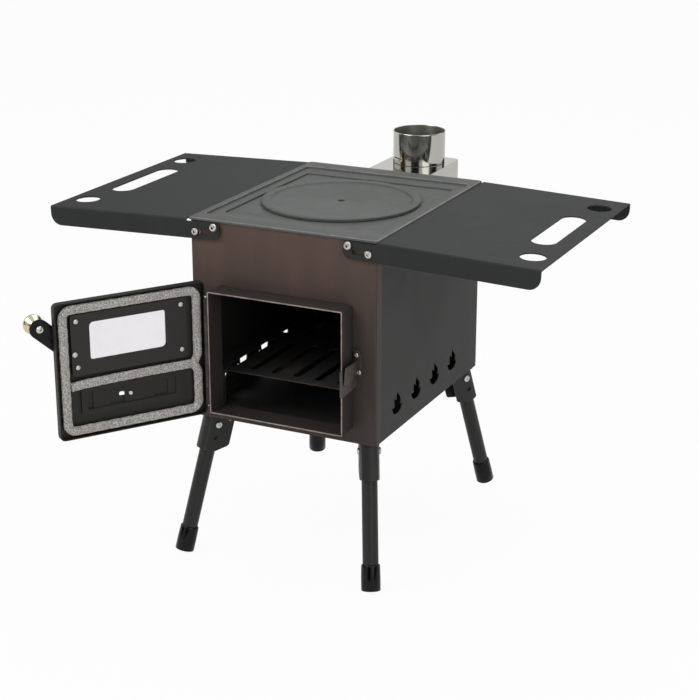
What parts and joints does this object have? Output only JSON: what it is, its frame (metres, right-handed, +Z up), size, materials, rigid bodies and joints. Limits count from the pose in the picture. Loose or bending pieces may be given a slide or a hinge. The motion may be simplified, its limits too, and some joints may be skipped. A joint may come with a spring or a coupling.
{
  "type": "tent wood stove",
  "caption": "Folding wood stove for a tent: sheet-steel firebox with window door, lift-out cooking lid, drop-down side shelves, flue box with collar and splayed folding legs.",
  "frame": {"origin": "middle of the whole stove's plan box, on the floor under the feet", "axes": "+Z up, the door and its throat face -Y, the flue box is at +Y, +X is the stove's right seen from the front"},
  "size_m": [0.634, 0.6188, 0.462],
  "materials": {
    "stove_paint": "matt heat-resistant dark grey",
    "top_paint": "matt heat-resistant grey",
    "shelf_paint": "matt dark grey",
    "leg_paint": "satin black",
    "foot_cap": "glossy black cap",
    "stainless": "bright stainless steel",
    "zinc": "bright zinc-plated",
    "rope": "woven glass-fibre rope",
    "window_glass": "clear heat-proof glass",
    "knob": "polished champagne metal"
  },
  "bodies": {
    "firebox": {"right_side_panel": "stove_paint", "left_side_panel": "stove_paint", "bottom_panel": "stove_paint", "fire_grate": "leg_paint", "top_frame": "top_paint", "cooktop_plate": "top_paint", "door_throat": "stove_paint", "latch_keeper": "stove_paint", "front_panel": "stove_paint", "back_panel": "stove_paint", "door_hinge_pin": "zinc", "right_front_pivot_screw": "zinc", "right_back_pivot_screw": "zinc", "left_front_pivot_screw": "zinc", "left_back_pivot_screw": "zinc", "front_left_leg_bracket": "leg_paint", "front_left_leg_bolt": "zinc", "front_right_leg_bracket": "leg_paint", "front_right_leg_bolt": "zinc", "rear_left_leg_bracket": "leg_paint", "rear_left_leg_bolt": "zinc", "rear_right_leg_bracket": "leg_paint", "rear_right_leg_bolt": "zinc", "flue_box": "stainless", "flue_collar": "stainless", "flue_collar_screw": "zinc"},
    "door": {"door_panel": "stove_paint", "door_hinge_leaf": "stove_paint", "door_gasket": "rope", "window_glass": "window_glass", "window_retainer": "stove_paint", "retainer_screw_1": "zinc", "retainer_screw_2": "zinc", "retainer_screw_3": "zinc", "retainer_screw_4": "zinc", "air_slide_guide": "stove_paint"},
    "handle": {"handle_lever": "leg_paint", "handle_pivot_bolt": "zinc", "handle_knob": "knob"},
    "air_slide": {"air_slide": "stove_paint", "air_slide_knob": "zinc"},
    "lid": {"cooking_lid": "top_paint"},
    "right_shelf_hanger": {"right_front_pivot_washer": "zinc", "right_back_pivot_washer": "zinc"},
    "right_shelf": {"right_shelf": "shelf_paint", "right_front_lock_screw": "zinc", "right_back_lock_screw": "zinc"},
    "left_shelf_hanger": {"left_front_pivot_washer": "zinc", "left_back_pivot_washer": "zinc"},
    "left_shelf": {"left_shelf": "shelf_paint", "left_front_lock_screw": "zinc", "left_back_lock_screw": "zinc"},
    "front_left_leg": {"front_left_leg_tube": "leg_paint", "front_left_foot_cap": "foot_cap"},
    "front_right_leg": {"front_right_leg_tube": "leg_paint", "front_right_foot_cap": "foot_cap"},
    "rear_left_leg": {"rear_left_leg_tube": "leg_paint", "rear_left_foot_cap": "foot_cap"},
    "rear_right_leg": {"rear_right_leg_tube": "leg_paint", "rear_right_foot_cap": "foot_cap"}
  },
  "joints": [
    {"name": "door_hinge", "type": "hinge", "parent": "firebox", "child": "door", "pos_m": [-0.0894, -0.1435, 0.26749], "axis": [0, 0, 1], "range_deg": [-24, 124.5]},
    {"name": "handle_pivot", "type": "hinge", "parent": "door", "child": "handle", "pos_m": [-0.194, -0.26939, 0.28949], "axis": [0.8241, -0.5664, 0], "range_deg": [0, 55]},
    {"name": "air_slide_travel", "type": "slide", "parent": "door", "child": "air_slide", "axis": [-0.5664, -0.8241, 0], "range_m": [0, 0.0105]},
    {"name": "lid_lift", "type": "slide", "parent": "firebox", "child": "lid", "axis": [0, 0, 1], "range_m": [0, 0.04]},
    {"name": "right_shelf_fold", "type": "hinge", "parent": "firebox", "child": "right_shelf_hanger", "pos_m": [0.1125, 0.0349, 0.40749], "axis": [0, 1, 0], "range_deg": [0, 88]},
    {"name": "right_shelf_slide", "type": "slide", "parent": "right_shelf_hanger", "child": "right_shelf", "axis": [0.9994, 0, -0.0349], "range_m": [0, 0.018]},
    {"name": "left_shelf_fold", "type": "hinge", "parent": "firebox", "child": "left_shelf_hanger", "pos_m": [-0.1125, 0.0349, 0.40749], "axis": [0, -1, 0], "range_deg": [0, 88]},
    {"name": "left_shelf_slide", "type": "slide", "parent": "left_shelf_hanger", "child": "left_shelf", "axis": [-0.9994, 0, -0.0349], "range_m": [0, 0.018]},
    {"name": "front_left_leg_fold", "type": "hinge", "parent": "firebox", "child": "front_left_leg", "pos_m": [-0.1056, -0.1066, 0.16149], "axis": [0.8788, -0.4772, 0], "range_deg": [0, 105]},
    {"name": "front_right_leg_fold", "type": "hinge", "parent": "firebox", "child": "front_right_leg", "pos_m": [0.1056, -0.1066, 0.16149], "axis": [0.8788, 0.4772, 0], "range_deg": [0, 105]},
    {"name": "rear_left_leg_fold", "type": "hinge", "parent": "firebox", "child": "rear_left_leg", "pos_m": [-0.1056, 0.1764, 0.16149], "axis": [-0.8788, -0.4772, 0], "range_deg": [0, 94]},
    {"name": "rear_right_leg_fold", "type": "hinge", "parent": "firebox", "child": "rear_right_leg", "pos_m": [0.1056, 0.1764, 0.16149], "axis": [-0.8788, 0.4772, 0], "range_deg": [0, 94]}
  ]
}
